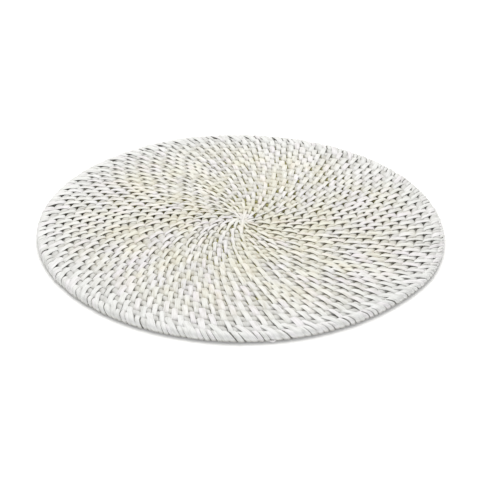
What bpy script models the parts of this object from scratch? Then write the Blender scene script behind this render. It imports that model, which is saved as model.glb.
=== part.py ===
"""A round rattan placemat, coiled in one piece from a rod wound outwards in a flat spiral.

Metres, +Z up. The mat lies flat: its underside is the plane z = 0, and the origin is under the
middle of its outline. Its top carries the coil as one spiral ridge, with a groove between each
turn and the next. The last turn thins out along the rim and ends against the turn before it.
"""

import math
from collections import namedtuple

import bmesh
import bpy

# The wrapped rod.
THICKNESS = 0.0070        # from the table to the crest of a coil
COIL_PITCH = 0.0065       # from the middle of one coil to the middle of the next
GROOVE_DEPTH = 0.0019     # how far the groove between two coils lies below their crests
CREST_FROM = 0.30         # the crest's inner edge, as a share of the coil's width
CREST_TO = 0.70           # and its outer edge

# The winding, anticlockwise as it goes outwards.
START_BEARING = 98.0      # degrees from +X, where the rod starts at the middle
TURNS = 24.77             # from the start to the tip of the rod
TAPER_TURNS = 0.21        # the last part of a turn, in which the rod thins to its tip
EYE_X = 0.0018            # the spiral starts this far to the right of the outline's middle

# The rounded side of the rim, measured in from the outline.
SHOULDER_IN, SHOULDER_Z = 0.0006, 0.78 * THICKNESS
HAUNCH_IN, HAUNCH_Z = 0.0006, 0.22 * THICKNESS
FOOT_IN = 0.0021          # the underside's flat starts this far inside the outline

# How fine the faces are.
STEPS = 60                # steps in one turn

# The outline is nearly round, but uneven by a millimetre or so, as handwork is.
Reach = namedtuple("Reach", "bearing_deg radius_mm")
OUTLINE = (
    Reach(0, 164.9),
    Reach(30, 165.7),
    Reach(60, 165.8),
    Reach(82, 165.0),
    Reach(106, 165.9),
    Reach(134, 164.6),
    Reach(165, 164.4),
    Reach(187, 165.0),
    Reach(222, 163.8),
    Reach(245, 164.4),
    Reach(271, 165.1),
    Reach(314, 163.8),
    Reach(332, 165.7),
)

# Whitewashed rattan: a thin chalky white over a straw-coloured skin.
WHITEWASH = "E2DFD2"
ROUGHNESS = 0.62

LAST = round(TURNS * STEPS)             # the step at the rod's tip
CREST_Z = THICKNESS
GROOVE_Z = THICKNESS - GROOVE_DEPTH
MIDDLE_Z = THICKNESS / 2


def ease(share):
    """A smooth rise from 0 to 1 as share goes from 0 to 1."""
    share = min(max(share, 0.0), 1.0)
    return share * share * (3.0 - 2.0 * share)


def outline_radius(bearing):
    """The outline's distance from the middle at a bearing in degrees."""
    bearing %= 360.0
    rows = list(OUTLINE) + [Reach(OUTLINE[0].bearing_deg + 360, OUTLINE[0].radius_mm)]
    for here, after in zip(rows, rows[1:]):
        if bearing <= after.bearing_deg:
            share = (bearing - here.bearing_deg) / (after.bearing_deg - here.bearing_deg)
            return (here.radius_mm + (after.radius_mm - here.radius_mm) * ease(share)) / 1000.0
    raise ValueError(bearing)


def fullness(step):
    """The rod's thickness at a step, as a share of the whole rod: 1, then down to 0 at its tip."""
    return 1.0 - ease((step - LAST) / (TAPER_TURNS * STEPS) + 1.0)


def groove_radius(step):
    """The radius of the spiral line on the rod's inner side, before the outline is made uneven.

    The same line, one turn on, is the rod's outer side, so past LAST it is the mat's edge.
    """
    if step <= LAST:
        return COIL_PITCH * step / STEPS
    inner = groove_radius(step - STEPS)
    return inner + COIL_PITCH * fullness(step - STEPS)


def edge_step(step):
    """The step at the same bearing that lies on the mat's edge."""
    return LAST + 1 + (step - LAST - 1) % STEPS


def place(step, radius, inset=0.0):
    """Where a point lies in plan, with the outer turns eased out or in to the uneven outline."""
    bearing = START_BEARING + 360.0 * step / STEPS
    edge = groove_radius(edge_step(step))
    outward = (radius / edge) ** 2
    fitted = radius * (1.0 + (outline_radius(bearing) / edge - 1.0) * outward) - inset
    angle = math.radians(bearing)
    return EYE_X * (1.0 - outward) + fitted * math.cos(angle), fitted * math.sin(angle)


def groove_height(step):
    """The groove is shallow at the eye, and at the tip it runs out to the middle of the side."""
    if step > LAST:
        return MIDDLE_Z
    at_eye = CREST_Z + (GROOVE_Z - CREST_Z) * ease(step / STEPS)
    return MIDDLE_Z + (at_eye - MIDDLE_Z) * fullness(step)


def add_face(bm, *corners):
    """A face through the corners, with any corner that repeats left out."""
    kept = [v for i, v in enumerate(corners) if v not in corners[:i]]
    if len(kept) > 2:
        bm.faces.new(kept)


def groove_line(bm):
    """The points along the groove, out to the edge; the edge closes at the rod's tip."""
    points = []
    for step in range(LAST + STEPS):
        x, y = place(step, groove_radius(step))
        points.append(bm.verts.new((x, y, groove_height(step))))
    return points + [points[LAST]]


def crest_line(bm, groove, share):
    """The points along the rod's crest, at a share of its width from the inner side."""
    points = []
    for step in range(LAST):
        inner = groove_radius(step)
        outer = groove_radius(step + STEPS)
        x, y = place(step, inner + (outer - inner) * share)
        height = MIDDLE_Z + (CREST_Z - MIDDLE_Z) * fullness(step)
        points.append(bm.verts.new((x, y, height)))
    return points + [groove[LAST]]


def rim_line(bm, first, inset, height, closes_on=None):
    """One turn of points along the side of the rim, both of whose ends may close on one point."""
    points = [] if closes_on is None else [closes_on]
    for step in range(first + len(points), first + STEPS):
        x, y = place(step, groove_radius(edge_step(step)), inset)
        points.append(bm.verts.new((x, y, height)))
    return points + [points[0]]


def build_top(bm):
    """The spiral ridge and groove, and the small fan at the eye. Returns the line of the edge."""
    groove = groove_line(bm)
    crest_in = crest_line(bm, groove, CREST_FROM)
    crest_out = crest_line(bm, groove, CREST_TO)
    rim_start = LAST - STEPS
    shoulder = rim_line(bm, rim_start, SHOULDER_IN, SHOULDER_Z, closes_on=groove[LAST])

    for step in range(1, STEPS):
        add_face(bm, groove[0], groove[step], groove[step + 1])
    add_face(bm, groove[0], groove[STEPS], crest_out[0], crest_in[0])

    for step in range(LAST):
        after = step + 1
        add_face(bm, groove[step], crest_in[step], crest_in[after], groove[after])
        add_face(bm, crest_in[step], crest_out[step], crest_out[after], crest_in[after])
        outer, outer_after = groove[step + STEPS], groove[after + STEPS]
        if step < rim_start:
            add_face(bm, crest_out[step], outer, outer_after, crest_out[after])
        else:
            side, side_after = shoulder[step - rim_start], shoulder[after - rim_start]
            add_face(bm, crest_out[step], side, side_after, crest_out[after])
            add_face(bm, side, outer, outer_after, side_after)
    return groove[LAST:]


def build_side_and_underside(bm, edge):
    """The rim's lower side, rounded in to the flat that the mat rests on."""
    haunch = rim_line(bm, LAST, HAUNCH_IN, HAUNCH_Z)
    foot = rim_line(bm, LAST, FOOT_IN, 0.0)
    for upper, lower in ((edge, haunch), (haunch, foot)):
        for i in range(STEPS):
            add_face(bm, upper[i], lower[i], lower[i + 1], upper[i + 1])
    bm.faces.new(reversed(foot[:-1]))


def centre_on_box(bm):
    """Moves the mat in its plane, so that the middle of its box is over the origin."""
    for axis in (0, 1):
        values = [v.co[axis] for v in bm.verts]
        middle = (min(values) + max(values)) / 2
        for v in bm.verts:
            v.co[axis] -= middle


def linear(code):
    """An sRGB hex colour as linear red, green, blue and alpha."""
    channels = [int(code[i:i + 2], 16) / 255 for i in (0, 2, 4)]
    bent = [c / 12.92 if c <= 0.04045 else ((c + 0.055) / 1.055) ** 2.4 for c in channels]
    return (*bent, 1.0)


def whitewashed_rattan():
    """The mat's plain finish."""
    material = bpy.data.materials.new("whitewashed_rattan")
    material.use_nodes = True
    shader = material.node_tree.nodes["Principled BSDF"]
    shader.inputs["Base Color"].default_value = linear(WHITEWASH)
    shader.inputs["Roughness"].default_value = ROUGHNESS
    shader.inputs["Metallic"].default_value = 0.0
    return material


def build_mat():
    """The whole mat, as one closed body."""
    bm = bmesh.new()
    edge = build_top(bm)
    build_side_and_underside(bm, edge)
    centre_on_box(bm)
    bmesh.ops.recalc_face_normals(bm, faces=bm.faces)

    mesh = bpy.data.meshes.new("coiled_mat")
    bm.to_mesh(mesh)
    bm.free()
    mesh.shade_smooth()
    mesh.set_sharp_from_angle(angle=math.radians(40.0))
    mesh.materials.append(whitewashed_rattan())
    mat = bpy.data.objects.new("coiled_mat", mesh)
    bpy.context.scene.collection.objects.link(mat)
    return mat


def clear_scene():
    """Removes whatever objects the scene starts with."""
    for leftover in list(bpy.data.objects):
        bpy.data.objects.remove(leftover)


clear_scene()
build_mat()
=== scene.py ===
"""Looks of a round rattan placemat: a rod wound outwards in a flat spiral, and the strip that binds it.

The strip is one ribbon, worked outwards from the eye. A short lap goes round the new turn of the rod
alone. A long lap goes round the new turn and the turn before it, and so ties the two together. Sizes are
in millimetres, and only the finished meshes are scaled to metres. A place on the coil is given in turns
from the rod's start.
"""

import math
from collections import namedtuple

import bpy
import numpy as np
from mathutils import Matrix, Vector


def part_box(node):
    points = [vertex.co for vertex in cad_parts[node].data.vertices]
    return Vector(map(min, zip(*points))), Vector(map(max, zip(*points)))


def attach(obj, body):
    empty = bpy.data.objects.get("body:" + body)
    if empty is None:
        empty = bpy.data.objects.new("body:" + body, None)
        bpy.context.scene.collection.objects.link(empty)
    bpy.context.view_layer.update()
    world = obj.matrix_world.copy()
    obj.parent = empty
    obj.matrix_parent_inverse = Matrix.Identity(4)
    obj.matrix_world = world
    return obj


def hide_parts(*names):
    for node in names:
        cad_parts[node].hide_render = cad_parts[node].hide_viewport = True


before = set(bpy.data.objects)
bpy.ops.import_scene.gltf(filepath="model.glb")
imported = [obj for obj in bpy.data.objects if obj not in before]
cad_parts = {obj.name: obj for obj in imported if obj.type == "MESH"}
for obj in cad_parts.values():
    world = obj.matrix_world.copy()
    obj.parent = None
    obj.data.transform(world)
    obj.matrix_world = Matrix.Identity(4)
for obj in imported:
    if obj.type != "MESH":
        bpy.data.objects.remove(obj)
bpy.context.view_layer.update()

MM = 0.001
node_low, node_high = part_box("coiled_mat")

# The coil, as in the solid.
THICKNESS = (node_high[2] - node_low[2]) / MM
COIL_PITCH = 6.5            # from the middle of one turn of the rod to the next
START_BEARING = 98.0        # degrees from +X, where the rod starts
TURNS = 24.77               # turns from the rod's start to its tip
TAPER_TURNS = 0.21          # the last part of a turn, where the rod thins
EYE_X = 1.8                 # the spiral starts this far to the right of the outline's middle

# The uneven outline, as in the solid.
Reach = namedtuple("Reach", "bearing_deg radius_mm")
OUTLINE = (
    Reach(0, 164.9),
    Reach(30, 165.7),
    Reach(60, 165.8),
    Reach(82, 165.0),
    Reach(106, 165.9),
    Reach(134, 164.6),
    Reach(165, 164.4),
    Reach(187, 165.0),
    Reach(222, 163.8),
    Reach(245, 164.4),
    Reach(271, 165.1),
    Reach(314, 163.8),
    Reach(332, 165.7),
)

# The rod.
ROD_RADIUS = 2.40           # its half height
ROD_NARROWER = 0.32         # it is pinched between its neighbours, and so is narrower than it is high
ROD_SQUARENESS = 2.5        # 2 would be an ellipse; more gives fuller shoulders
TIP_SHARE = 0.22            # what is left of its thickness at the very tip
ROD_CORNERS = 10
ROD_STEPS = 96              # in a turn

# The strip.
STRIP_THICK = 0.48
STRIP_CROWN = 0.10          # how much the middle of the strip's face is raised over its thickness
LONG_WIDTH = 4.4            # of a long lap, measured along the rod, as the other widths are
EYE_WIDTH = 2.3             # the strip is cut narrower for the first turns
EYE_TURNS = 17.0            # and reaches its full width here
SHORT_SPACING = 4.7         # what the worker aims at between short laps
LONG_SPACING = 4.0          # how much of the rod a long lap takes up
OVERLAP = 1.02              # a short lap's width as a share of its spacing
SHORT_LEAN = 1.25           # a short lap goes forward by more than its share on top, and back a little below
ROOM_COVERED = 0.8          # how much of a space too small for a short lap a wider long lap covers
LAP_FROM = -55              # a lap starts low on the rod's outer side, at this angle

# How the laps stand up.
LONG_PROUD = 0.30           # how far a long lap stands above the short laps beside it
BRIDGE_RISE = 0.42          # how far it arches over the groove
LAP_COVERS = 0.45           # the share of its width, to each side, in which the laps beside it stay flat
PILLOW = 0.34               # how far the short laps swell, midway between two long laps
SIDE_PILLOW = 0.85          # how far the laps swell at their sides, where they close the groove
GAP_LENGTH = 3.4            # but beside a long lap's crossing the groove stays open for this far
LEAST_SWELL = 0.4           # the shortest length in which a lap swells
SMOOTH_TURNS = 3.0          # the first turns are worked flatter
SWELLS_ABOVE = -0.5         # nothing swells below this sine of the angle about the rod

# The last turn, which is the rim.
RIM_FROM = 1.15             # it starts this many turns before the tip
RIM_FADE = 0.3              # and changes over this much of a turn
SLANT_FROM = 1.2            # its laps turn to their slant from here on
RIM_FATTER = 0.25           # the rod is fatter there, so that the rim fills the outline
RIM_WIDER = 0.14            # and free to spread
RIM_CROWN = 0.42            # the strip is bent harder, and crowns by this much more
CROWNS_ABOVE = -0.7         # but not on the underside, below this sine of the angle about the rod
RIM_ROUND = 0.35            # and its crown is narrower, by this share
RIM_PROUD = 0.26            # how far the long laps stand up
RIM_FLATTER = 0.7           # the short laps swell less, by this share
RIM_OVERLAP = 0.96          # the wraps stand a hair apart
RIM_OPEN = 0.10             # and further apart by this share where they are loosest
RIM_OPEN_BEARING = 330.0    # which is at the right of the front
RIM_UNEVEN = 0.15           # and some stand prouder than others
RIM_SLANT = math.tan(math.radians(41.0))
RIM_LEAN = 1.9              # the wraps slant like the lay of a rope
RIM_LONG_WIDTH = 5.6        # over the rim the long laps spread

# At the eye, and between two turns, the strip is squeezed.
EYE_RADIUS = 0.9            # the first laps all go down inside this circle
LEAST_RADIUS = 0.15         # and nothing of the strip comes nearer to its middle than this
SQUEEZED_AT = -170.0        # the angle about the rod where a long lap is squeezed most
SQUEEZED_OVER = 45.0        # how many degrees to each side of that it spreads out again
SQUEEZE = 0.24              # it loses this share of its width
EYE_SQUEEZE = 0.42          # and this much more at the eye
EYE_SQUEEZE_FROM = 0.2      # which lessens from this turn on
EYE_SQUEEZE_TURNS = 1.6     # over this many turns

# Where a long lap goes, among those of the turn before.
FIRST_LAP = 0.05            # turns from the rod's start
LAST_LAP = 0.03             # turns from its tip
PAST_MIDDLE = 1.6           # it goes this far past the middle between two of them
FURTHEST = 0.84             # but no further than this share of the space between them
CLOSEST = 0.45              # a lap nearer to the last one than this share of the wanted space is left out

# How uneven the handwork is: one standard deviation, as a share.
EYE_JITTER = 0.03           # of the space between the first laps
PLACE_JITTER = 0.05         # of the space between the others
SLANT_JITTER = 0.08
WIDTH_JITTER = 0.12
LEAN_JITTER = 0.06
LIFT_JITTER = 0.30

# How many long laps there are in a turn, counted in the photograph.
Count = namedtuple("Count", "turn laps")
LONG_LAPS = (
    Count(0.0, 8),
    Count(1.0, 9),
    Count(4.2, 11),
    Count(4.8, 20),
    Count(8.0, 22),
    Count(9.0, 26),
    Count(12.0, 34),
    Count(14.1, 37),
    Count(14.7, 56),
    Count(15.2, 61),
    Count(17.0, 61),
    Count(19.0, 58),
    Count(22.0, 58),
    Count(23.5, 64),
    Count(24.8, 65),
)

# How far the long laps lean from the radial: the worker's hand varied round the mat.
Lean = namedtuple("Lean", "bearing_deg lean_deg")
LEANS = (
    Lean(0, 27.0),
    Lean(30, 27.0),
    Lean(60, 20.0),
    Lean(90, 16.0),
    Lean(120, 13.5),
    Lean(150, 18.0),
    Lean(180, 26.0),
    Lean(210, 28.0),
    Lean(240, 25.0),
    Lean(270, 24.0),
    Lean(300, 21.0),
    Lean(330, 24.0),
)

# The strip is split into pieces at these turns.
ZONE_ENDS = (9.0, 13.5, 17.0, 20.0, 22.5, TURNS + 1.0)

rng = np.random.default_rng(41)


def ease(share):
    """A smooth rise from 0 to 1 as share goes from 0 to 1."""
    share = np.clip(share, 0.0, 1.0)
    return share * share * (3.0 - 2.0 * share)


def outline_radius(bearing):
    """The outline's distance from the middle at bearings in degrees."""
    bearings = np.array([row.bearing_deg for row in OUTLINE] + [OUTLINE[0].bearing_deg + 360.0])
    radii = np.array([row.radius_mm for row in OUTLINE] + [OUTLINE[0].radius_mm])
    bearing = np.mod(bearing, 360.0)
    i = np.clip(np.searchsorted(bearings, bearing, side="right") - 1, 0, len(OUTLINE) - 1)
    share = ease((bearing - bearings[i]) / (bearings[i + 1] - bearings[i]))
    return radii[i] + (radii[i + 1] - radii[i]) * share


def fullness(turn):
    """The rod's thickness, as a share of the whole rod: 1, then down to 0 at its tip."""
    return 1.0 - ease((turn - TURNS) / TAPER_TURNS + 1.0)


def groove_radius(turn):
    """The spiral line on the rod's inner side. The same line, one turn on, is its outer side."""
    inner = COIL_PITCH * turn
    past = COIL_PITCH * (turn - 1.0) + COIL_PITCH * fullness(turn - 1.0)
    return np.where(turn <= TURNS, inner, past)


def rod_middle(turn):
    """The radius of the rod's centreline."""
    turn = np.asarray(turn, float)
    return (groove_radius(turn) + groove_radius(turn + 1.0)) / 2.0


def at_rim(turn):
    """0 over the mat, rising to 1 in the last turn."""
    return ease((turn - (TURNS - RIM_FROM)) / RIM_FADE)


def rod_radius(turn):
    """The rod's own radius: fatter in the last turn, and thinner towards its tip."""
    return (ROD_RADIUS + RIM_FATTER * at_rim(turn)) * (TIP_SHARE + (1.0 - TIP_SHARE) * fullness(turn))


def rod_wider(turn):
    """How much wider than high the rod is, at each side."""
    return -ROD_NARROWER + (ROD_NARROWER + RIM_WIDER) * at_rim(turn)


def round_rod(angle, reach, wider):
    """How far out and up points lie from the rod's centreline, at their angles and half heights."""
    power = 2.0 / ROD_SQUARENESS
    out = np.sign(np.cos(angle)) * np.abs(np.cos(angle)) ** power * (reach + wider)
    up = np.sign(np.sin(angle)) * np.abs(np.sin(angle)) ** power * reach
    return out, up


def edge_turn(turn):
    """The turn at the same bearing that lies on the mat's edge."""
    return TURNS + np.mod(turn - TURNS, 1.0)


def place(turn, radius):
    """Points in plan, eased out or in to the uneven outline, and the directions outwards there."""
    bearing = START_BEARING + 360.0 * turn
    edge = groove_radius(edge_turn(turn))
    outward = (radius / edge) ** 2
    fitted = radius * (1.0 + (outline_radius(bearing) / edge - 1.0) * outward)
    angle = np.radians(bearing)
    away = np.stack([np.cos(angle), np.sin(angle)], -1)
    eye = np.stack([EYE_X * (1.0 - outward), np.zeros_like(outward)], -1)
    return eye + fitted[..., None] * away, away


def box_middle():
    """The middle of the outline's box, which the solid has over its origin."""
    turns = np.linspace(TURNS, TURNS + 1.0, 721)
    points, _ = place(turns, groove_radius(turns))
    return (points.min(axis=0) + points.max(axis=0)) / 2.0


MIDDLE = box_middle()


def turns_in(length, turn):
    """A length along the rod, in turns."""
    return length / (2.0 * math.pi * rod_middle(turn))


def slant_at(turn):
    """How far a long lap goes along the rod for each millimetre outwards."""
    bearing = np.mod(START_BEARING + 360.0 * np.asarray(turn, float), 360.0)
    bearings = [row.bearing_deg for row in LEANS]
    lean = np.interp(bearing, bearings, [row.lean_deg for row in LEANS], period=360.0)
    slant = np.tan(np.radians(lean))
    return slant + (RIM_SLANT - slant) * ease((turn - (TURNS - SLANT_FROM)) / RIM_FADE)


def laps_in_a_turn(turn):
    """How many long laps a turn has at a place."""
    return np.interp(turn, [row.turn for row in LONG_LAPS], [row.laps for row in LONG_LAPS])


def long_lap_places():
    """Where the long laps cross the groove: between two of the turn before, a little past their middle."""
    places = [FIRST_LAP]
    behind = 0
    owed = 0.0
    while places[-1] < TURNS - LAST_LAP:
        last = places[-1]
        want = 1.0 / laps_in_a_turn(last)
        if last + want < 1.0:
            places.append(last + want * rng.normal(1.0, EYE_JITTER))
            continue
        gap = places[behind + 1] - places[behind]
        pitch = gap * 2.0 * math.pi * float(rod_middle(last))
        ahead = places[behind] + 1.0 + gap * min(0.5 + PAST_MIDDLE / pitch, FURTHEST)
        behind += 1
        if ahead - last < CLOSEST * want:
            continue
        # Where there is room for more than one, the turn gets more laps than the turn before.
        owed += (ahead - last) / want
        count = max(int(round(owed)), 1)
        owed -= count
        for i in range(count):
            share = (i + 1) / count
            places.append(last + (ahead - last) * share + want * rng.normal(0.0, PLACE_JITTER))
    return places


def crest_crossings(places):
    """Where long laps cross the rod's crest, in turns: the turn's own laps and those of the next turn."""
    own = places + turns_in(slant_at(places) * COIL_PITCH / 2, places)
    later = places[places > 1.0] - 1.0
    later = later - turns_in(slant_at(later) * COIL_PITCH / 2, later)
    return np.sort(np.concatenate([own, later]))


# A lap starts at a place on the rod and advances along it. Tone is how white it is, and lift how proud.
Lap = namedtuple("Lap", "start advance long width lean tone lift")


def long_lap_width(middle):
    """The strip's usual width in a long lap: narrow at the eye, and spread over the rim."""
    width = EYE_WIDTH + (LONG_WIDTH - EYE_WIDTH) * float(ease(middle / EYE_TURNS))
    return width + (RIM_LONG_WIDTH - width) * float(at_rim(middle))


def short_lap(start, step, spacing, middle):
    """One short lap, beside the long lap at middle."""
    rim = float(at_rim(middle))
    lean = SHORT_LEAN + (RIM_LEAN - SHORT_LEAN) * rim
    lean = turns_in(spacing * lean * rng.normal(1.0, LEAN_JITTER), middle)
    loose = math.cos(math.radians(START_BEARING + 360.0 * middle - RIM_OPEN_BEARING)) / 2 + 0.5
    width = spacing * (OVERLAP + (RIM_OVERLAP - RIM_OPEN * loose - OVERLAP) * rim)
    return Lap(start, step, 0, width, lean, rng.random(), rng.normal(0.0, 1.0))


def lay_laps(places):
    """The strip's laps in order, long ones with the short ones between them."""
    laps = []
    end = 0.0
    down = ROD_RADIUS * math.radians(90.0 - LAP_FROM)
    for middle in places:
        slant = float(slant_at(middle)) * rng.normal(1.0, SLANT_JITTER)
        outer_end = middle + turns_in(slant * (COIL_PITCH / 2 + down), middle)
        width = long_lap_width(middle) * rng.normal(1.0, WIDTH_JITTER)
        start = outer_end - turns_in(LONG_SPACING, middle)
        room = (start - end) * 2.0 * math.pi * float(rod_middle(middle))
        count = int(round(room / SHORT_SPACING))
        if count < 1:
            # Too little room for a short lap: the long one is laid wider, to cover it.
            width += max(room, 0.0) * ROOM_COVERED
            start = end
        for i in range(count):
            step = (start - end) / count
            laps.append(short_lap(end + step * i, step, room / count, middle))
        lean = turns_in(slant * (ROD_RADIUS * math.pi / 2 + COIL_PITCH + down), middle)
        tone = rng.random()
        lift = rng.normal(1.0, LIFT_JITTER)
        laps.append(Lap(start, outer_end - start, 1, width, lean, tone, lift))
        end = outer_end
    return laps


# The stations round a lap, as angles about the rod it is on: 0 is the rod's outer side, and -90 below it.
SHORT_STATIONS = (-55, -90, -125, -160, -192, -214, -236, -258, -280, -302, -325, -350, -382)
LONG_NEW_DOWN = (-55, -84)
LONG_OLD = (-96, -138, -180, -206, -231, -255)
LONG_NEW_UP = (-284, -309, -333, -357, -385)
BRIDGE_ANGLE = -270.0       # on top, between the turn before and the new turn
BRIDGE_SHARES = (0.82, 0.5, 0.18)   # how far towards the turn before


def lap_stations():
    """For a short and a long lap, each station's angle, and how far towards the turn before it lies."""
    short = [(angle, 0.0) for angle in SHORT_STATIONS]
    long = [(angle, 0.0) for angle in LONG_NEW_DOWN]
    long += [(angle, 1.0) for angle in LONG_OLD]
    long += [(BRIDGE_ANGLE, share) for share in BRIDGE_SHARES]
    long += [(angle, 0.0) for angle in LONG_NEW_UP]
    return np.array(short), np.array(long)


STATIONS = lap_stations()


def section_line(laps):
    """Every section of the ribbon: a dict of arrays with one value for each section."""
    copied = ("width", "tone", "lift", "long")
    rows = {key: [] for key in ("turn", "angle", "old", "along", *copied)}
    along = 0.0
    for lap in laps:
        angle, old = STATIONS[lap.long].T
        reach = COIL_PITCH if lap.long else 0.0
        radius = ROD_RADIUS + STRIP_THICK / 2
        arc = np.radians(LAP_FROM - angle) * radius
        # Going down and under, a long lap crosses the pitch from new to old, and on top it comes back.
        arc = arc + reach * np.where(angle > -180, old, 2.0 - old)
        whole = math.tau * radius + 2.0 * reach
        # It goes back a little below, as far as the inner side, and forward over the top.
        below = np.radians(180.0 + LAP_FROM) * radius + reach
        under = lap.advance - lap.lean
        over = under + lap.lean * (arc - below) / (whole - below)
        rows["turn"].append(lap.start + np.where(arc < below, under * arc / below, over))
        rows["angle"].append(angle)
        rows["old"].append(old)
        rows["along"].append(along + arc)
        for key in copied:
            rows[key].append(np.full(len(angle), float(getattr(lap, key))))
        along += whole
    return {key: np.concatenate(value) for key, value in rows.items()}


# The strip's section: across as a share of its width, and out from its middle as a share of its thickness.
PROFILE = np.array([(-0.50, 0.10), (-0.36, 0.50), (0.36, 0.50), (0.50, 0.10), (0.44, -0.50), (-0.44, -0.50)])
CREST_CORNERS = PROFILE[:, 1] == 0.50


def swelling(spot, offset, radius, crossings):
    """How full a stretch of short laps is: 0 beside a long lap, and 1 midway to the next one."""
    around = math.tau * np.maximum(radius, 1.0)
    spot = spot - slant_at(spot) * offset / around
    after = np.clip(np.searchsorted(crossings, spot), 1, len(crossings) - 1)
    gap = (crossings[after] - crossings[after - 1]) * around
    nearest = np.minimum(spot - crossings[after - 1], crossings[after] - spot) * around
    covered = LAP_COVERS * LONG_WIDTH
    share = (nearest - covered) / np.maximum(gap / 2 - covered, LEAST_SWELL)
    return np.sin(math.pi / 2 * np.clip(share, 0.0, 1.0))


def closing(spot, radius, places):
    """How far the laps close a groove: 0 next to a long lap that crosses it, and 1 away from one."""
    around = math.tau * np.maximum(radius, 1.0)
    after = np.clip(np.searchsorted(places, spot), 1, len(places) - 1)
    nearest = np.minimum(np.abs(spot - places[after - 1]), np.abs(places[after] - spot)) * around
    return ease((nearest - LONG_WIDTH / 2) / GAP_LENGTH)


def squeezed(width, turn, degrees, long):
    """The strip's width, less where a long lap goes down between two turns, and least at the eye."""
    inner_side = np.exp(-((degrees - SQUEEZED_AT) / SQUEEZED_OVER) ** 2) * long
    at_eye = 1.0 - ease((turn - EYE_SQUEEZE_FROM) / EYE_SQUEEZE_TURNS)
    return width * (1.0 - inner_side * (SQUEEZE + EYE_SQUEEZE * at_eye))


def ribbon_points(sections, places, crossings):
    """The ribbon's points, a row for each section and a column for each corner of the profile."""
    keys = ("turn", "angle", "old", "long", "lift", "width")
    turn, degrees, old, long, lift, width = [sections[key][:, None] for key in keys]
    angle = np.radians(degrees)
    rim = at_rim(turn)
    outer_side = np.cos(angle) > 0
    swells = np.sin(angle) > SWELLS_ABOVE

    # On the turn before, the strip lies over that turn's own laps. The first turn has none before it.
    new = rod_middle(turn)
    turn_before = np.maximum(turn - 1.0, 0.0)
    before = np.maximum(rod_middle(turn_before), EYE_RADIUS + ROD_RADIUS + 1.5 * STRIP_THICK)
    centre = new + (np.minimum(before, new) - new) * old
    thick = rod_radius(turn) * (1.0 - old) + rod_radius(turn_before) * old
    reach = thick + STRIP_THICK / 2 + STRIP_THICK * old

    across = PROFILE[:, 0] * squeezed(width, turn, degrees, long) * (1.0 - RIM_ROUND * rim * CREST_CORNERS)
    spot = turn + across / (math.tau * np.maximum(new, 1.0))
    crown = (STRIP_CROWN + RIM_CROWN * rim * (np.sin(angle) > CROWNS_ABOVE)) * CREST_CORNERS
    proud = (LONG_PROUD + (RIM_PROUD - LONG_PROUD) * rim) * long * np.maximum(np.sin(angle), 0.0)
    rise = BRIDGE_RISE * lift * (4.0 * old * (1.0 - old) * (degrees == BRIDGE_ANGLE))
    # Each stretch of short laps swells towards its middle, on top and more at its sides.
    full = swelling(spot, ROD_RADIUS * np.cos(angle), new, crossings) * (1.0 - long)
    full = full * ease(turn / SMOOTH_TURNS) * swells
    uneven = RIM_UNEVEN * rim * (lift * (1.0 - long) * swells)
    distance = reach + PROFILE[:, 1] * STRIP_THICK + crown + (rise + proud)
    distance = distance + PILLOW * full * (1.0 - RIM_FLATTER * rim) + uneven

    # Long laps of the next turn cross the groove on the rod's outer side, and its own the inner one.
    closed = closing(spot + outer_side - old, new, places) * ease(turn / SMOOTH_TURNS) * swells
    # The rim's outer side has no groove to close.
    wider = rod_wider(turn) + SIDE_PILLOW * closed * (1.0 - rim * outer_side)

    out, up = round_rod(angle, distance, wider)
    turns = np.repeat(turn, len(PROFILE), 1)
    centre_plan, direction = place(turns, np.maximum(centre + out, LEAST_RADIUS))
    sideways = np.stack([-direction[..., 1], direction[..., 0]], -1)
    plan = centre_plan + sideways * across[..., None] - MIDDLE
    height = THICKNESS / 2 + up
    return np.concatenate([plan, height[..., None]], -1), across


def tube_faces(sections, corners):
    """Quads between each section and the next, and one face at each end."""
    ring = np.arange(corners)
    after = (ring + 1) % corners
    base = np.arange(sections - 1)[:, None] * corners
    quads = np.stack([base + ring, base + corners + ring, base + corners + after, base + after], -1)
    first = ring.tolist()
    last = (ring[::-1] + (sections - 1) * corners).tolist()
    return quads.reshape(-1, 4).tolist() + [first, last]


def make_piece(name, points, faces, marks, material):
    """A mesh piece.

    marks has six columns, with one row for each point: how far it is along and across the strip, its
    tone, how near the crest of the rod it is, with painted shade low on the rim's side folded in, whether
    it takes the long laps' white or the short laps' greyer white, which is partly painted shade, and how
    far out on the mat it is.
    """
    mesh = bpy.data.meshes.new(name)
    mesh.from_pydata((points * MM).tolist(), [], faces)
    corner_point = np.empty(len(mesh.loops), np.int32)
    mesh.loops.foreach_get("vertex_index", corner_point)
    lay = mesh.uv_layers.new(name="lay")
    lay.data.foreach_set("uv", marks[corner_point, :2].astype(np.float32).ravel())
    strip = mesh.attributes.new("strip", "FLOAT_VECTOR", "POINT")
    strip.data.foreach_set("vector", marks[:, 2:5].astype(np.float32).ravel())
    outward = mesh.attributes.new("outward", "FLOAT", "POINT")
    outward.data.foreach_set("value", marks[:, 5].astype(np.float32))
    mesh.shade_smooth()
    mesh.set_sharp_from_angle(angle=math.radians(50.0))
    mesh.materials.append(material)
    piece = bpy.data.objects.new(name, mesh)
    bpy.context.scene.collection.objects.link(piece)
    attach(piece, "root")
    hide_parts("coiled_mat")


# How well the rim's outer side is washed at its middle height, and how fast the value falls off below it,
# which is painted shade darkening the rim's low side.
RIM_WASHED = 0.9
RIM_SHADE_FALLS = 3.0
TOP_FROM = -0.2             # the outer side reaches in to this cosine of the angle, over the top


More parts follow.
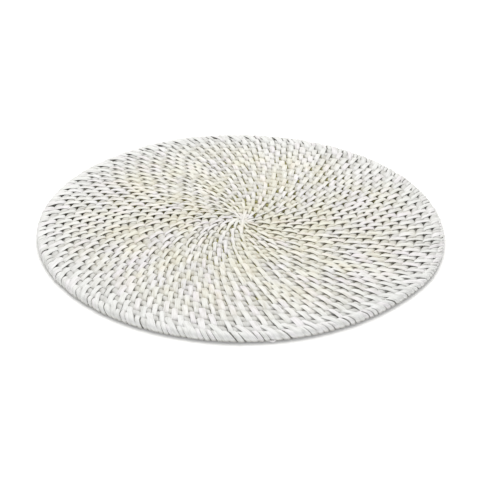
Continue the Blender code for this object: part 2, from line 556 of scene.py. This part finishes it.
def strip_marks(sections, across):
    """The finish of the ribbon's points, as make_piece takes it."""
    rim = at_rim(sections["turn"])
    angle = np.radians(sections["angle"])
    # Under the rim's middle height this value falls, as painted shade low on the rim's side.
    rim_wash_and_shade = RIM_WASHED + RIM_SHADE_FALLS * np.minimum(np.sin(angle), 0.0)
    crest_and_shade = np.maximum(np.sin(angle), rim * np.where(np.cos(angle) > TOP_FROM, rim_wash_and_shade, -1.0))
    # At the rim the short laps are as white as the long ones.
    white = np.maximum(sections["long"], rim)
    outward = np.clip(sections["turn"] / TURNS, 0.0, 1.0)
    columns = [sections["along"], sections["tone"], crest_and_shade, white, outward]
    along, *finish = [np.repeat(column, len(PROFILE)) for column in columns]
    return np.stack([along, across.ravel(), *finish], -1)


def build_strip(material):
    """The binding strip, in one piece for each zone of the mat."""
    places = long_lap_places()
    laps = lay_laps(places)
    places = np.array(places)
    crossings = crest_crossings(places)
    starts = np.array([lap.start for lap in laps])
    done = 0
    for number, zone_end in enumerate(ZONE_ENDS, 1):
        stop = int(np.searchsorted(starts, zone_end))
        sections = section_line(laps[done:stop + 1])
        if stop < len(laps):
            # The piece ends on the first section of the next one.
            last = len(sections["turn"]) - len(STATIONS[laps[stop].long]) + 1
            sections = {key: value[:last] for key, value in sections.items()}
        points, across = ribbon_points(sections, places, crossings)
        faces = tube_faces(*points.shape[:2])
        marks = strip_marks(sections, across)
        make_piece(f"binding_strip_{number}", points.reshape(-1, 3), faces, marks, material)
        done = stop


def even_marks(along, across, tone, crest_and_shade, outward):
    """The marks of a single white strip, finished alike all over."""
    same = np.tile([tone, crest_and_shade, 1.0, outward], (across.size, 1))
    return np.column_stack([np.repeat(along, len(PROFILE)), across.ravel(), same])


# Where the strip was crossed over itself at the eye, to start the coil: from one place to another.
Crossing = namedtuple("Crossing", "from_x from_y to_x to_y width")
EYE_CROSSINGS = (
    Crossing(2.9, 3.4, 0.9, -25.0, 2.5),
    Crossing(1.9, -2.6, -7.6, 17.0, 2.3),
    Crossing(1.7, -3.4, 5.6, 16.2, 2.4),
)
CROSSING_STATIONS = 36
CROSSING_END = 2.2          # over this length each end goes down between two turns
CROSSING_DOWN = 2.1         # by this much
CROSSING_NARROWS = 0.35     # and narrows by this share
CROSSING_LAP = 0.45         # how much higher each lies than the one before, in thicknesses of the strip
CROSSING_FIRST = 0.55       # and how high the first one lies
CROSSING_SUNK = 0.05        # all of them pressed this far into the laps
CROSSING_LIES = 8.0         # this far from its start each lies down on the laps


def build_eye_crossings(material):
    """The few straight strips on top of the eye."""
    points, faces, marks = [], [], []
    for number, row in enumerate(EYE_CROSSINGS):
        start, end = np.array([row.from_x, row.from_y]), np.array([row.to_x, row.to_y])
        length = float(np.hypot(*(end - start)))
        share = np.linspace(0.0, 1.0, CROSSING_STATIONS)
        forward = (end - start) / length
        sideways = np.array([-forward[1], forward[0]])
        dip = 1.0 - ease(np.minimum(share, 1.0 - share) * length / CROSSING_END)
        pile = CROSSING_LAP * number * (1.0 - ease(share * length / CROSSING_LIES))
        height = THICKNESS - CROSSING_SUNK + STRIP_THICK * (CROSSING_FIRST + pile) - CROSSING_DOWN * dip
        across = PROFILE[:, 0] * row.width * (1.0 - CROSSING_NARROWS * dip[:, None])
        plan = start + (end - start) * share[:, None]
        plan = plan[:, None] + sideways * across[..., None]
        up = height[:, None] + PROFILE[:, 1] * STRIP_THICK + STRIP_CROWN * CREST_CORNERS
        first = len(points) * up.size
        faces += [[first + corner for corner in face] for face in tube_faces(*up.shape)]
        points.append(np.concatenate([plan, up[..., None]], -1).reshape(-1, 3))
        marks.append(even_marks(share * length, across, tone=0.7, crest_and_shade=1.0, outward=0.05))
    make_piece("eye_crossings", np.concatenate(points), faces, np.concatenate(marks), material)


# A loose end of strip, which curls out from under the rim at one bearing and tucks in at the other.
LOOSE_FROM, LOOSE_TO = 276.6, 279.6
LOOSE_RADIUS = 162.2        # of both its ends, from the outline's middle
LOOSE_OUT = 3.9             # how far its middle stands out
LOOSE_HEIGHT = 1.5          # of both its ends, above the table
LOOSE_RISE = 0.5            # how much higher its middle is
LOOSE_WIDTH = 1.5
LOOSE_LENGTH = 8.0
LOOSE_STATIONS = 16


def build_loose_end(material):
    """The short end that curls out low on the rim, near the front."""
    share = np.linspace(0.0, 1.0, LOOSE_STATIONS)
    bulge = np.sin(math.pi * share)
    bearing = np.radians(LOOSE_FROM + (LOOSE_TO - LOOSE_FROM) * share)
    away = np.stack([np.cos(bearing), np.sin(bearing)], -1)
    radius = (LOOSE_RADIUS + LOOSE_OUT * bulge)[:, None] + PROFILE[:, 1] * STRIP_THICK
    across = np.repeat(PROFILE[None, :, 0] * LOOSE_WIDTH, LOOSE_STATIONS, 0)
    height = (LOOSE_HEIGHT + LOOSE_RISE * bulge)[:, None] + across
    plan = away[:, None] * radius[..., None] - MIDDLE
    points = np.concatenate([plan, height[..., None]], -1).reshape(-1, 3)
    marks = even_marks(share * LOOSE_LENGTH, across, tone=0.9, crest_and_shade=0.8, outward=1.0)
    make_piece("loose_end", points, tube_faces(*height.shape), marks, material)


def build_rod(material):
    """The rod itself, which shows between laps, at the eye and at its tip."""
    turns = np.linspace(0.0, TURNS, int(TURNS * ROD_STEPS))
    angles = np.linspace(0.0, math.tau, ROD_CORNERS, endpoint=False)
    radius = rod_radius(turns)
    out, up = round_rod(angles[None], radius[:, None], rod_wider(turns)[:, None])
    plan, _ = place(np.repeat(turns[:, None], ROD_CORNERS, 1), rod_middle(turns)[:, None] + out)
    height = THICKNESS / 2 + up
    points = np.concatenate([plan - MIDDLE, height[..., None]], -1).reshape(-1, 3)
    length = np.cumsum(np.full(len(turns), TURNS / len(turns))) * math.tau * rod_middle(turns)
    marks = np.stack([
        np.repeat(length, ROD_CORNERS),
        np.tile(angles * ROD_RADIUS, len(turns)),
        np.full(len(points), 0.5),
        np.tile(np.sin(angles), len(turns)),
        np.zeros(len(points)),
        np.repeat(turns / TURNS, ROD_CORNERS),
    ], -1)
    make_piece("rod", points, tube_faces(len(turns), ROD_CORNERS), marks, material)


def linear(code):
    """An sRGB hex colour as linear red, green, blue and alpha."""
    channels = [int(code[i:i + 2], 16) / 255 for i in (0, 2, 4)]
    bent = [c / 12.92 if c <= 0.04045 else ((c + 0.055) / 1.055) ** 2.4 for c in channels]
    return (*bent, 1.0)


def add(tree, kind, links=None, **settings):
    """Adds a node with its settings, and with values, hex colours or links for its sockets."""
    made = tree.nodes.new(kind)
    for key, value in settings.items():
        setattr(made, key, value)
    for socket, value in (links or {}).items():
        if isinstance(value, bpy.types.NodeSocket):
            tree.links.new(value, made.inputs[socket])
        else:
            made.inputs[socket].default_value = linear(value) if isinstance(value, str) else value
    return made


def new_material(name):
    """A new node material, with its node tree and its shader."""
    material = bpy.data.materials.new(name)
    material.use_nodes = True
    tree = material.node_tree
    return material, tree, tree.nodes["Principled BSDF"]


def whitewashed_peel():
    """Rattan peel, split flat and whitewashed: chalky white on the crests, worn to straw in streaks."""
    material, tree, shader = new_material("whitewashed_rattan_peel")
    lay = add(tree, "ShaderNodeUVMap", uv_map="lay").outputs["UV"]
    strip = add(tree, "ShaderNodeAttribute", attribute_name="strip").outputs["Vector"]
    marks = add(tree, "ShaderNodeSeparateXYZ", {0: strip}).outputs
    tone, crest_and_shade, white = marks["X"], marks["Y"], marks["Z"]
    outward = add(tree, "ShaderNodeAttribute", attribute_name="outward").outputs["Fac"]

    # Fibres run along the strip, each 12 mm or so long. The real ones are too fine to show, so these are
    # drawn coarser, about 0.5 mm apart.
    fibre_lay = add(tree, "ShaderNodeMapping", {"Vector": lay, "Scale": (0.08, 1.9, 1.0)}).outputs[0]
    fibres = add(tree, "ShaderNodeTexNoise", {"Vector": fibre_lay, "Scale": 1.0, "Detail": 3.0}).outputs[0]
    # The wash is uneven over 3 mm across the strip and 7 mm along it.
    wash_lay = add(tree, "ShaderNodeMapping", {"Vector": lay, "Scale": (0.14, 0.32, 1.0)}).outputs[0]
    wash = add(tree, "ShaderNodeTexNoise", {"Vector": wash_lay, "Scale": 1.0, "Detail": 4.0}).outputs[0]

    # How much of the wash covers the cane, by the height about the rod; low on the rim's side it falls
    # faster, as painted shade.
    covered = add(tree, "ShaderNodeMapRange", {0: crest_and_shade, 1: -0.6, 2: 0.72, 3: 0.12, 4: 1.0}).outputs[0]
    streaks = add(tree, "ShaderNodeMapRange", {0: fibres, 1: 0.28, 2: 0.55, 3: 0.72, 4: 1.0}).outputs[0]
    patches = add(tree, "ShaderNodeMapRange", {0: wash, 1: 0.30, 2: 0.52, 3: 0.70, 4: 1.0}).outputs[0]
    coat_and_shade = add(tree, "ShaderNodeMath", {0: covered, 1: streaks}, operation="MULTIPLY").outputs[0]
    coat_and_shade = add(tree, "ShaderNodeMath", {0: coat_and_shade, 1: patches}, operation="MULTIPLY").outputs[0]

    # Each lap has its own white.
    chalk = add(tree, "ShaderNodeValToRGB", {0: tone})
    chalk.color_ramp.elements[0].color = linear("E9E9E8")
    chalk.color_ramp.elements[1].color = linear("F6F6F6")
    for at, code in ((0.30, "EFF0EE"), (0.62, "F3F3F2"), (0.80, "F1EEF0")):
        chalk.color_ramp.elements.new(at).color = linear(code)
    # The short laps are greyer, partly a thinner wash and partly painted shade from the long laps standing
    # over them.
    # Towards the middle of the mat they are painted lighter, as painted light against the heavier shade
    # among the narrower strips there.
    inner = add(tree, "ShaderNodeMapRange", {0: outward, 1: 0.60, 2: 0.25}).outputs[0]
    thin_and_shaded = add(tree, "ShaderNodeMix", {0: inner, 6: "DADAD8", 7: "E7E7E3"}, data_type="RGBA")
    lap_white_and_shade = add(tree, "ShaderNodeMix", {0: white, 6: thin_and_shaded.outputs[2], 7: chalk.outputs[0]}, data_type="RGBA")
    # Away from the rim the white is tinted in patches of 20 mm or so, straw or faintly lilac.
    where = add(tree, "ShaderNodeTexCoord").outputs["Object"]
    patch = add(tree, "ShaderNodeTexNoise", {"Vector": where, "Scale": 48.0, "Detail": 2.0}).outputs[0]
    tints = add(tree, "ShaderNodeValToRGB", {0: patch})
    tints.color_ramp.elements[0].position = 0.36
    tints.color_ramp.elements[0].color = linear("FDFBFE")
    tints.color_ramp.elements[1].position = 0.64
    tints.color_ramp.elements[1].color = linear("FFFEF2")
    tints.color_ramp.elements.new(0.48).color = linear("FFFEFA")
    outer = add(tree, "ShaderNodeMapRange", {0: outward, 1: 0.70, 2: 0.95}).outputs[0]
    warmth = add(tree, "ShaderNodeMix", {0: outer, 6: tints.outputs[0], 7: "FFFFFF"}, data_type="RGBA")
    tinted = add(tree, "ShaderNodeMix", {0: 1.0, 6: lap_white_and_shade.outputs[2], 7: warmth.outputs[2]},
                 data_type="RGBA", blend_type="MULTIPLY")
    # Where the wash is worn off the cane is bare: olive, a warmer brown in places, and grey near the rim.
    # Low on the rim's side, and low in the grooves near it, this grey is painted darker, as painted shade.
    browned = add(tree, "ShaderNodeMapRange", {0: patch, 1: 0.45, 2: 0.62}).outputs[0]
    cane = add(tree, "ShaderNodeMix", {0: browned, 6: "857B2C", 7: "93703A"}, data_type="RGBA")
    low_shade = add(tree, "ShaderNodeMapRange", {0: crest_and_shade, 1: -0.1, 2: -0.8}).outputs[0]
    grey_and_low_shade = add(tree, "ShaderNodeMix", {0: low_shade, 6: "9C9A90", 7: "55534E"}, data_type="RGBA")
    bare_and_low_shade = add(tree, "ShaderNodeMix", {0: outer, 6: cane.outputs[2], 7: grey_and_low_shade.outputs[2]}, data_type="RGBA")
    mixed = add(tree, "ShaderNodeMix", {0: coat_and_shade, 6: bare_and_low_shade.outputs[2], 7: tinted.outputs[2]}, data_type="RGBA")
    tree.links.new(mixed.outputs[2], shader.inputs["Base Color"])

    # The dry wash is duller than the bare skin of the cane.
    rough = add(tree, "ShaderNodeMapRange", {0: coat_and_shade, 1: 0.4, 2: 1.0, 3: 0.42, 4: 0.62}).outputs[0]
    tree.links.new(rough, shader.inputs["Roughness"])
    bump = add(tree, "ShaderNodeBump", {"Strength": 0.35, "Distance": 0.12 * MM, "Height": fibres})
    tree.links.new(bump.outputs[0], shader.inputs["Normal"])
    shader.inputs["IOR"].default_value = 1.5
    return material


def rattan_core():
    """The rod's own cane, hardly reached by the wash: straw to khaki, dull and ribbed along its length."""
    material, tree, shader = new_material("rattan_core")
    lay = add(tree, "ShaderNodeUVMap", uv_map="lay").outputs["UV"]
    # The ribs are drawn about 0.7 mm apart, coarse enough to show, and 17 mm or so long.
    ribs_lay = add(tree, "ShaderNodeMapping", {"Vector": lay, "Scale": (0.06, 1.4, 1.0)}).outputs[0]
    ribs = add(tree, "ShaderNodeTexNoise", {"Vector": ribs_lay, "Scale": 1.0, "Detail": 3.0}).outputs[0]
    khaki = add(tree, "ShaderNodeValToRGB", {0: ribs})
    khaki.color_ramp.elements[0].position = 0.3
    khaki.color_ramp.elements[0].color = linear("857F3A")
    khaki.color_ramp.elements[1].position = 0.7
    khaki.color_ramp.elements[1].color = linear("B3AF80")
    # Near the rim the wash has greyed it.
    outward = add(tree, "ShaderNodeAttribute", attribute_name="outward").outputs["Fac"]
    outer = add(tree, "ShaderNodeMapRange", {0: outward, 1: 0.7, 2: 0.92}).outputs[0]
    greyed = add(tree, "ShaderNodeMix", {0: outer, 6: khaki.outputs[0], 7: "8A8983"}, data_type="RGBA")
    tree.links.new(greyed.outputs[2], shader.inputs["Base Color"])
    bump = add(tree, "ShaderNodeBump", {"Strength": 0.5, "Distance": 0.2 * MM, "Height": ribs}).outputs[0]
    tree.links.new(bump, shader.inputs["Normal"])
    shader.inputs["Roughness"].default_value = 0.75
    shader.inputs["IOR"].default_value = 1.5
    return material


# The camera, worked out from the outline in the photograph. It stands in metres, as the lights do.
CAMERA_DISTANCE = 0.8719
CAMERA_ELEVATION = math.radians(30.45)
CAMERA_ROLL = math.radians(0.41)
CAMERA_AIM = Vector((0.0001, -0.0225, 0.0))
SENSOR = 36.0
LENS = 80.85


def make_camera():
    """The camera looks along +Y and down."""
    data = bpy.data.cameras.new("camera")
    data.sensor_width = SENSOR
    data.lens = LENS
    camera = bpy.data.objects.new("camera", data)
    bpy.context.scene.collection.objects.link(camera)
    back = Vector((0.0, -math.cos(CAMERA_ELEVATION), math.sin(CAMERA_ELEVATION)))
    turned = (-back).to_track_quat("-Z", "Y").to_matrix().to_4x4()
    roll = Matrix.Rotation(CAMERA_ROLL, 4, "Z")
    camera.matrix_world = Matrix.Translation(CAMERA_AIM + back * CAMERA_DISTANCE) @ turned @ roll
    bpy.context.scene.camera = camera


FLOOR_HALF = 4.0            # metres, from its middle to its edges
FLOOR_GLOW = 0.14


def make_floor():
    """A plain pale floor of milky acrylic, lit a little from below, so that its shadows stay light."""
    material, _, shader = new_material("milky_acrylic")
    shader.inputs["Base Color"].default_value = linear("FDFDFC")
    shader.inputs["Emission Color"].default_value = linear("FFFFFF")
    shader.inputs["Emission Strength"].default_value = FLOOR_GLOW
    shader.inputs["Roughness"].default_value = 0.9
    corners = ((-1, -1), (1, -1), (1, 1), (-1, 1))
    mesh = bpy.data.meshes.new("floor")
    mesh.from_pydata([(x * FLOOR_HALF, y * FLOOR_HALF, 0) for x, y in corners], [], [(0, 1, 2, 3)])
    mesh.materials.append(material)
    floor = bpy.data.objects.new("floor", mesh)
    bpy.context.scene.collection.objects.link(floor)


# Each lamp: where it stands, the size of its soft face, its power and its colour.
Lamp = namedtuple("Lamp", "name place size power colour")
LAMPS = (
    Lamp("overhead_softbox", (-0.05, 0.50, 1.5), 1.3, 19.6, "FFFEFB"),
    Lamp("front_softbox", (0.15, -1.3, 0.8), 0.9, 2.7, "F8FAFF"),
)
STUDIO_COLOUR = "FFFFFF"
STUDIO_STRENGTH = 0.47


def make_lights():
    """Plain soft studio light, mostly from above and a little behind."""
    for lamp in LAMPS:
        data = bpy.data.lights.new(lamp.name, "AREA")
        data.size = lamp.size
        data.energy = lamp.power
        data.color = linear(lamp.colour)[:3]
        light = bpy.data.objects.new(lamp.name, data)
        bpy.context.scene.collection.objects.link(light)
        light.location = lamp.place
        light.rotation_euler = (-Vector(lamp.place)).to_track_quat("-Z", "Y").to_euler()
    world = bpy.data.worlds.new("studio")
    world.use_nodes = True
    bpy.context.scene.world = world
    around = world.node_tree.nodes["Background"]
    around.inputs["Color"].default_value = linear(STUDIO_COLOUR)
    around.inputs["Strength"].default_value = STUDIO_STRENGTH
    bpy.context.scene.view_settings.view_transform = "Standard"


make_camera()
make_lights()
make_floor()
build_rod(rattan_core())
peel = whitewashed_peel()
build_strip(peel)
build_eye_crossings(peel)
build_loose_end(peel)
